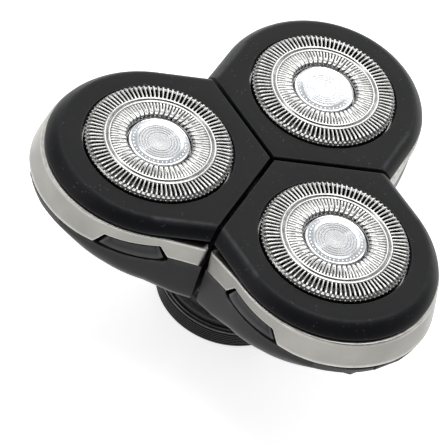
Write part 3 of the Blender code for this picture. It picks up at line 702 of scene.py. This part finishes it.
def make_guard():
    g = Geo()
    # body: flange and side wall in a darker copy of the guard steel (painted shade), and the two thin rings with the
    # groove between
    g.turned([(12.85, 31.7), (12.85, 32.25), (12.8, 32.3), (12.0, 32.3), (12.0, 33.98), (11.96, 34.14), (11.84, 34.34), (11.70, 34.44), (11.50, 34.46),
              (11.25, 34.42), (11.25, 34.2), (11.45, 34.1), (11.45, 31.7)], 120, (D, 0), [0] * 13, 1)
    ringp = [(8.00, 34.45), (8.00, 34.86), (8.12, 34.97), (8.24, 35.0), (8.36, 34.98), (8.44, 34.90), (8.50, 34.74), (8.60, 34.70),
             (8.70, 34.74), (8.76, 34.90), (8.84, 34.98), (8.96, 35.0), (9.10, 34.97), (9.22, 34.88), (9.22, 34.45), (8.6, 34.3)]
    # edge marks paint highlights on the crowns of the two thin rings
    g.turned(ringp, 144, (D, 0), [0, 0, .4, 1, 1, .3, 0, 0, 0, .3, 1, 1, .4, 0, 0, 0], 0)
    # outer bars over the rounded rim, with painted highlights along their edges
    for i in range(90):
        a = 2 * pi * (i + 0.5) / 90
        j = wobble(i, 1) * 0.012
        st = [(9.04, 34.86, -25, -.15, .15, .05, .05, .30, .3), (9.26, 34.98, -8, -.135, .135, .05, .05, .32, .7),
              (9.6, 35.0, 0, -.128 + j, .128 + j, .05, .05, .34, .6), (10.4, 35.0, 0, -.138 + j, .138 + j, .05, .05, .36, .45),
              (11.05, 34.995, 3, -.150, .150, .055, .055, .38, .6), (11.36, 34.955, 16, -.170, .170, .06, .06, .38, .9),
              (11.60, 34.87, 38, -.185, .185, .065, .065, .36, 1.0), (11.76, 34.74, 60, -.18, .18, .065, .065, .32, 1.0),
              (11.83, 34.62, 78, -.15, .15, .06, .06, .24, .8), (11.85, 34.53, 90, -.09, .09, .04, .04, .18, .4)]
        sweep(g, st, a)
    # a row of small beads on the side wall under the bars, with a painted highlight on them
    for i in range(90):
        a = 2 * pi * (i + 0.5) / 90
        n = 8
        rows = []
        for lat in (0, 38, 68, 90):
            q = 0.16 * cos(radians(lat))
            h = 0.15 * sin(radians(lat))
            if lat == 90:
                q = 0.012
            row = []
            for s in range(n):
                b = 2 * pi * s / n
                row.append((11.93 + h * 0.95 - 0.30 * q * sin(b), q * cos(b), 34.11 + 0.30 * h + 0.85 * q * sin(b)))
            rows.append([(D + x * cos(a) - y * sin(a), x * sin(a) + y * cos(a), z) for x, y, z in row])
        g.loft(rows, [0.2, .7, 1.0, 1.0])
    # inner track: 45 forks whose stems bend down to hooked tips, in a darker copy of the guard steel (painted shade)
    # with painted edge highlights
    for i in range(45):
        a = 2 * pi * (i + 0.25) / 45
        j = wobble(i, 2) * 0.010
        for side in (-1, 1):
            st = []
            for r, z, na, inn, out, th, m, hk in (
                    (8.10, 34.90, 8, .085, .485, .34, .5, 0.0), (7.86, 34.985, 2, .080, .470, .36, .7, 0.0), (7.4, 35.0, 0, .085, .440, .38, .55, 0.0),
                    (6.95, 35.0, 0, .085, .412, .38, .55, 0.0), (6.66, 35.0, 0, .045, .395, .38, .6, .0), (6.52, 35.0, 0, .0, .385, .38, .6, .0),
                    (6.1, 35.0, 0, .0, .350, .38, .6, .02), (5.78, 34.985, -8, .0, .315, .36, .8, .05), (5.56, 34.93, -26, .0, .280, .34, 1.0, .10),
                    (5.40, 34.80, -52, .0, .250, .30, 1.0, .17), (5.32, 34.62, -74, .0, .205, .24, .9, .25), (5.30, 34.48, -86, .0, .12, .18, .5, .30)):
                bo = min(.06, out * .3)
                bi = .05 if inn > .03 else .004
                if side > 0:
                    st.append((r, z, na, inn + hk + j, out + hk + j, bi, bo, th, m))
                else:
                    st.append((r, z, na, -out + hk + j, -inn + hk + j, bo, bi, th, m))
            sweep(g, st, a, 2)
    # dish under the disc, in the darker copy of the guard steel (painted shade)
    g.turned([(5.55, 33.35), (5.55, 34.2), (5.46, 34.3), (5.30, 34.2), (5.24, 33.80), (5.1, 33.75), (1.2, 33.75), (1.2, 33.3), (5.3, 33.3)],
             96, (D, 0), None, 1)
    return g.mesh("guard")


def make_disc():
    g = Geo()
    prof = [(0.0, 34.56)]
    edge = [0.0]
    for r, z, m in ((.55, 34.565, 0), (.8, 34.57, 0), (1.45, 34.575, 0)):
        prof.append((r, z)); edge.append(m)
    # groove floors are marked 1, which paints them darker grey: painted shade in the grooves
    for r in (1.95, 2.42, 2.88, 3.34):
        for dr, dz, m in ((-.13, .002, 0), (-.07, .002, 0), (-.035, -.045, 1), (.035, -.045, 1), (.07, .002, 0), (.13, .002, 0)):
            prof.append((r + dr, 34.575 + dz)); edge.append(m)
    # the flat ring from r 3.72 to 4.62 is also marked and drawn darker grey
    for r, z, m in ((3.62, 34.575, .0), (3.72, 34.54, .6), (3.9, 34.53, .75), (4.3, 34.515, .8), (4.62, 34.50, .7), (4.74, 34.50, .2),
                    (4.80, 34.53, 0), (4.88, 34.53, 0), (4.96, 34.47, 0), (5.0, 34.36, 0), (5.0, 34.07, 0)):
        prof.append((r, z)); edge.append(m)
    prof.append((0.0, 34.07)); edge.append(0.0)
    g.turned(prof, 128, (D, 0), edge)
    for i in range(38):
        a = 2 * pi * i / 38
        cx, cy = D + 4.24 * cos(a), 4.24 * sin(a)
        rows = []
        for q, h in ((.135, -.01), (.12, .022), (.07, .042), (.008, .048)):
            rows.append([(cx + q * cos(2 * pi * s / 10), cy + q * sin(2 * pi * s / 10), 34.515 + h) for s in range(10)])
        g.loft(rows, [0.0] * 4)
    return g.mesh("disc")


# ---------------------------------------------------------------- cutter
def make_cutter():
    g = Geo()
    g.turned([(0.0, 32.4), (2.6, 32.4), (2.6, 29.9), (3.42, 29.9), (3.5, 29.98), (3.5, 31.2), (3.62, 31.3), (10.9, 31.3), (11.0, 31.4),
              (11.0, 32.0), (10.9, 32.1), (3.62, 32.1), (3.5, 32.22), (3.5, 32.8), (3.42, 32.9), (0.0, 32.9)], 72, (D, 0))
    for (r0, r1), n in (((9.62, 10.95), 24), ((6.2, 7.55), 16)):
        g.turned([(r0, 31.9), (r0, 32.55), (r1, 32.55), (r1, 31.9)], 96, (D, 0))
        for i in range(n):
            a = 2 * pi * i / n
            rows = []
            for z, lean, hw in ((32.4, 0.0, .16), (33.2, .14, .13), (34.0, .34, .10), (34.17, .38, .05)):
                row = [(r0, lean - hw), (r1, lean - hw), (r1, lean + hw), (r0, lean + hw)]
                rows.append([(D + x * cos(a) - y * sin(a), x * sin(a) + y * cos(a), z) for x, y in row])
            g.loft(rows)
    return g.mesh("cutter")


lid_mesh, trim_mesh, shell_mesh = make_lid(), make_trim(), make_shell()
tongue_mesh = make_tongue()
block_mesh, guard_mesh, disc_mesh, cutter_mesh = make_hinge_block(), make_guard(), make_disc(), make_cutter()
button_mesh = {-1: make_button(-1), 1: make_button(1)}

for i, az in enumerate(AZ):
    n = str(i + 1)
    piece("lid_panel_" + n, lid_mesh, "lid_" + n, [M_LID], az, 50, ("lid_cover_" + n,))
    piece("trim_band_" + n, trim_mesh, "lid_" + n, [M_TRIM], az, 42, ("silver_trim_" + n,))
    piece("hull_" + n, shell_mesh, "lobe_" + n, [M_SHELL], az, 34, ("lower_shell_" + n,))
    piece("hinge_bar_" + n, block_mesh, "lobe_" + n, [M_HINGE], az, 34, ("hinge_block_" + n,))
    piece("hinge_tongue_" + n, tongue_mesh, "lid_" + n, [M_HINGE], az, 34, bevel=0.12)
    piece("guard_cap_" + n, guard_mesh, "guard_" + n, [M_GUARD, M_GUARD_SHADED, M_GUARD_TRACK_SHADED], az, 55, ("shaving_guard_" + n,))
    piece("guard_disc_" + n, disc_mesh, "guard_" + n, [M_DISC], az, 32, ("centre_disc_" + n,))
    piece("blade_ring_" + n, cutter_mesh, "blades_" + n, [M_BLADE], az, 34, ("cutter_" + n,))
    for k, sy in (("a", -1), ("b", 1)):
        piece("button_key_" + n + k, button_mesh[sy], "button_" + n + k, [M_BUTTON], az, 38,
              ("release_button_" + n + k,))


# ================================================================ neck
def make_collar():
    g = Geo()
    # third number: edge mark for painted highlights along the rib and lip edges
    prof = [(9.2, 0.0, 0), (11.75, 0.0, 0), (11.95, .08, .2), (12.15, .28, .2), (12.2, .5, 0)]
    z = 0.62
    while z < 3.25:
        prof += [(12.2, z, 0), (12.38, z + .08, .12), (12.38, z + .20, .12), (12.2, z + .28, 0)]
        z += 0.44
    prof += [(12.2, 3.45, 0), (12.36, 3.52, .5), (12.38, 3.66, .9), (12.30, 3.78, .5), (12.0, 3.86, 0), (11.95, 3.96, .6), (11.84, 4.04, .9), (11.70, 4.02, .4),
             (11.55, 4.00, 0), (11.35, 4.10, .6), (11.22, 4.17, .9), (11.1, 4.12, .4), (10.95, 4.15, 0), (10.2, 6.2, 0), (3.6, 6.2, 0), (3.6, 4.8, 0), (9.2, 4.8, 0)]
    g.turned([(r, zz) for r, zz, _ in prof], 120, (0, 0), [m for *_, m in prof])
    me = g.mesh("collar")
    for s in (-1, 1):
        x0, x1 = sorted((s * 9.3, s * 10.1))
        me = boolean(me, box_mesh(x0, x1, -1.8, 1.8, 5.5, 10.4), "UNION")
    return boolean(me, rod_mesh((-12, 0, 8.5), (12, 0, 8.5), 1.2, 20))


def make_boot():
    """Soft bellows with a pattern of small raised cells on its outside."""
    key = [(11.8, 4.65), (12.2, 5.5), (11.5, 6.7), (12.0, 7.9), (11.3, 9.2), (11.7, 10.4), (11.1, 11.6), (11.2, 12.5)]
    seg = 240
    rings, edge = [], []
    steps = 64
    for i in range(steps + 1):
        t = i / steps * (len(key) - 1)
        k = min(int(t), len(key) - 2)
        u = t - k
        u = u * u * (3 - 2 * u)
        r = key[k][0] + (key[k + 1][0] - key[k][0]) * u
        z = key[0][1] + (key[-1][1] - key[0][1]) * i / steps
        ring, ed = [], []
        for j in range(seg):
            # raised cells are marked 0.5, which paints them lighter: a painted highlight on the cells
            cell = 0.09 if (i % 4 in (1, 2)) and (j % 4 in (1, 2)) and 2 < i < steps - 2 else 0.0
            a = 2 * pi * j / seg
            rr = r - 0.09 + cell
            ring.append((rr * cos(a), rr * sin(a), z))
            ed.append(0.5 if cell else 0.0)
        rings.append(ring)
        edge.append(ed)
    for r, z in ((10.5, 12.5), (10.3, 9.0), (10.6, 6.8), (11.0, 4.95)):
        rings.append([(r * cos(2 * pi * j / seg), r * sin(2 * pi * j / seg), z) for j in range(seg)])
        edge.append([0.0] * seg)
    g = Geo()
    g.loft(rings, edge, loop=True)
    return g.mesh("boot")


piece("neck_base", make_collar(), "neck", [M_COLLAR], 0.0, 34, ("neck_collar",))
piece("neck_bellows", make_boot(), "neck", [M_BOOT], 0.0, 60, ("neck_boot",))

# ================================================================ carried-over CAD nodes
slot_of = {}
for m in frame["record"].get("materials", []):
    for nd in m.get("nodes", []) or []:
        slot_of[nd] = m.get("slot")
guess = (("gimbal", "grey_plastic"), ("drive_coupler", "acetal_white"), ("gearbox_screw", "steel"), ("gearbox", "grey_plastic"),
         ("shaft_bush", "brass"), ("sun", "acetal_white"), ("planet", "acetal_white"), ("chamber", "tray_black"), ("pin", "steel"),
         ("drive_spindle", "acetal_white"), ("spring", "steel"), ("lid_frame", "hinge_black"))
for name, o in nodes.items():
    if o.hide_render:
        continue
    s = slot_of.get(name)
    if s is None:
        s = next((v for k, v in guess if k in name), "grey_plastic")
    o.data.materials.clear()
    o.data.materials.append(BY_SLOT[s])
    for f in o.data.polygons:
        f.use_smooth = True
    o.data.set_sharp_from_angle(angle=radians(34))
    if name.startswith(("gearbox_pan", "gearbox_cover", "chamber_tray", "lid_frame", "gimbal_ring", "drive_spindle", "drive_coupler",
                        "planet_gear", "sun_gear", "gearbox_screw")):
        w = o.modifiers.new("join", "WELD")
        w.merge_threshold = 1e-6
        bv = o.modifiers.new("edge_round", "BEVEL")
        bv.width = 0.00007
        bv.segments = 1
        bv.limit_method = "ANGLE"
        bv.angle_limit = radians(38)
        bv.harden_normals = True

# ================================================================ stage, light and camera
fm, fnt, fp = new_mat("floor_pale")
ftc = fnt.nodes.new("ShaderNodeTexCoord")
fn = noise(fnt, ftc.outputs["Object"], 3.0, 2.0)
fnt.links.new(mixed(fnt, fn.outputs["Fac"], (0.90, 0.90, 0.905), (0.92, 0.92, 0.92)), fp.inputs["Base Color"])
fp.inputs["Roughness"].default_value = 0.9
fp.inputs["Specular IOR Level"].default_value = 0.1
fp.inputs["Emission Color"].default_value = (1.0, 1.0, 1.0, 1.0)
fp.inputs["Emission Strength"].default_value = 0.74
fme = bpy.data.meshes.new("floor")
fme.from_pydata([(-3, -3, 0), (3, -3, 0), (3, 3, 0), (-3, 3, 0)], [], [(0, 1, 2, 3)])
fme.materials.append(fm)
floor = bpy.data.objects.new("floor", fme)
scene.collection.objects.link(floor)
floor.location.z = -0.0002

world = bpy.data.worlds.new("studio")
scene.world = world
world.use_nodes = True
wnt = world.node_tree
bg = wnt.nodes["Background"]
wtc = wnt.nodes.new("ShaderNodeTexCoord")
sep = wnt.nodes.new("ShaderNodeSeparateXYZ")
wnt.links.new(wtc.outputs["Generated"], sep.inputs[0])
back = ranged(wnt, sep.outputs["Y"], 0.10, 0.62, -0.65, 0.55)
wnt.links.new(back, bg.inputs["Strength"])
bg.inputs["Color"].default_value = (1.0, 1.0, 1.0, 1.0)


def softbox(name, loc, target, size, power):
    ld = bpy.data.lights.new(name, "AREA")
    ld.shape = "RECTANGLE"
    ld.size, ld.size_y = size
    ld.energy = power
    o = bpy.data.objects.new(name, ld)
    scene.collection.objects.link(o)
    o.location = loc
    o.rotation_mode = "QUATERNION"
    o.rotation_quaternion = (Vector(target) - Vector(loc)).to_track_quat("-Z", "Y")
    return o


softbox("top_light", (0.05, 0.15, 0.85), (0, 0, 0.02), (0.7, 0.5), 3.0)
softbox("back_light", (0.30, 0.75, 0.55), (0, 0, 0.02), (0.8, 0.35), 2.2)
softbox("left_light", (-0.75, -0.15, 0.45), (0, 0, 0.02), (0.35, 0.6), 1.0)

cd = bpy.data.cameras.new("camera")
cd.lens = 236.98
cd.sensor_width = 36.0
cd.clip_start, cd.clip_end = 0.01, 20.0
cam = bpy.data.objects.new("camera", cd)
scene.collection.objects.link(cam)
R = ((0.9755182103921807, -0.03452869096251913, 0.21719113861677689),
     (0.11475601033787752, -0.7625589197829818, -0.6366592117850368),
     (0.18760404922221188, 0.6459966434586376, -0.7399277379282405))
place = Matrix(((R[0][0], -R[1][0], -R[2][0], -0.0948456),
                (R[0][1], -R[1][1], -R[2][1], -0.3122852),
                (R[0][2], -R[1][2], -R[2][2], 0.3743116),
                (0, 0, 0, 1)))
cam.matrix_world = place
scene.camera = cam
scene.view_settings.view_transform = "Standard"
scene.view_settings.look = "None"
